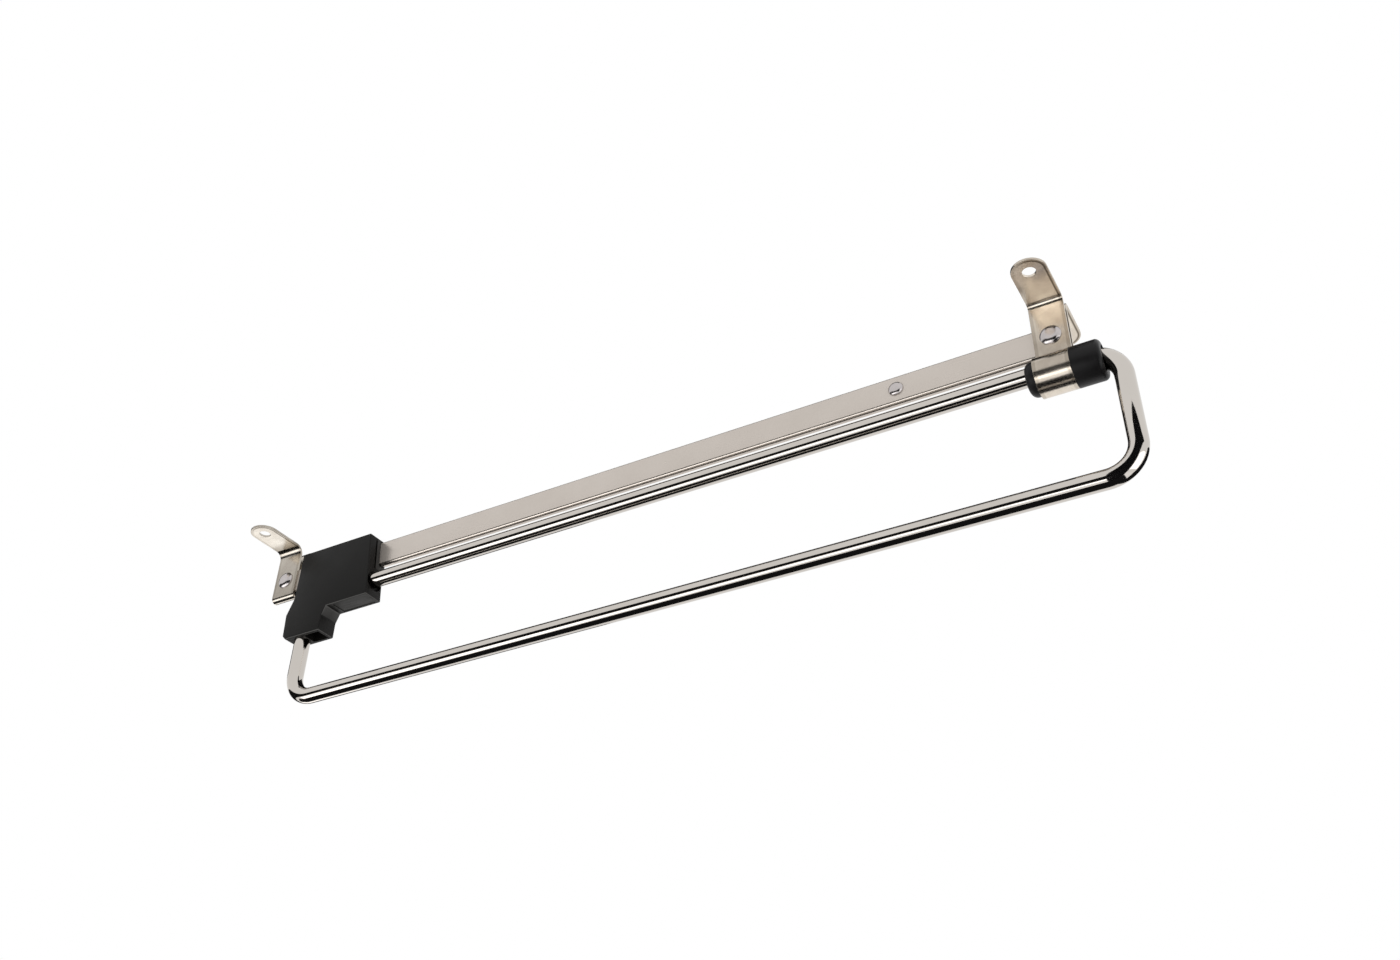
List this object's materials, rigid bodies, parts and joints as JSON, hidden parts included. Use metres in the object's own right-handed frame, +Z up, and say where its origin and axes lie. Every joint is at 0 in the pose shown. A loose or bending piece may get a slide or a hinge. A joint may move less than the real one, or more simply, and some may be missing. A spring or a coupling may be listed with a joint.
{
  "type": "pull-out wardrobe rail",
  "caption": "Hanging rail that screws up under a shelf: a closed wire loop for hangers slides out along a flat guide rail, through a round bushing.",
  "frame": {"origin": "centre of the four screw holes, in the plane of the ears' upper faces, which lie against the shelf", "axes": "+X along the rail, the way the loop pulls out; +Y from the front of the part to its back; +Z up to the shelf"},
  "size_m": [0.3998, 0.053, 0.0871],
  "materials": {
    "rail_plate": "satin nickel plate",
    "strap_plate": "satin nickel plate, faintly warm",
    "rivet_plate": "bright nickel plate",
    "wire_chrome": "polished",
    "slider_plastic": "satin black",
    "bushing_plastic": "satin black",
    "screw_steel": "plain zinc"
  },
  "bodies": {
    "mounting": {"guide_rail": "rail_plate", "rear_bracket": "strap_plate", "front_bracket": "strap_plate", "rear_rivet": "rivet_plate", "front_rivet": "rivet_plate", "stop_rivet": "rivet_plate", "front_bushing": "bushing_plastic"},
    "carriage": {"wire_rod": "wire_chrome", "wire_front_end": "wire_chrome", "wire_bar": "wire_chrome", "wire_rear_end": "wire_chrome", "slider_front_shell": "slider_plastic", "slider_rear_shell": "slider_plastic", "slider_screws": "screw_steel"}
  },
  "joints": [
    {"name": "pull_out", "type": "slide", "parent": "mounting", "child": "carriage", "axis": [1, 0, 0], "range_m": [0, 0.247]}
  ]
}
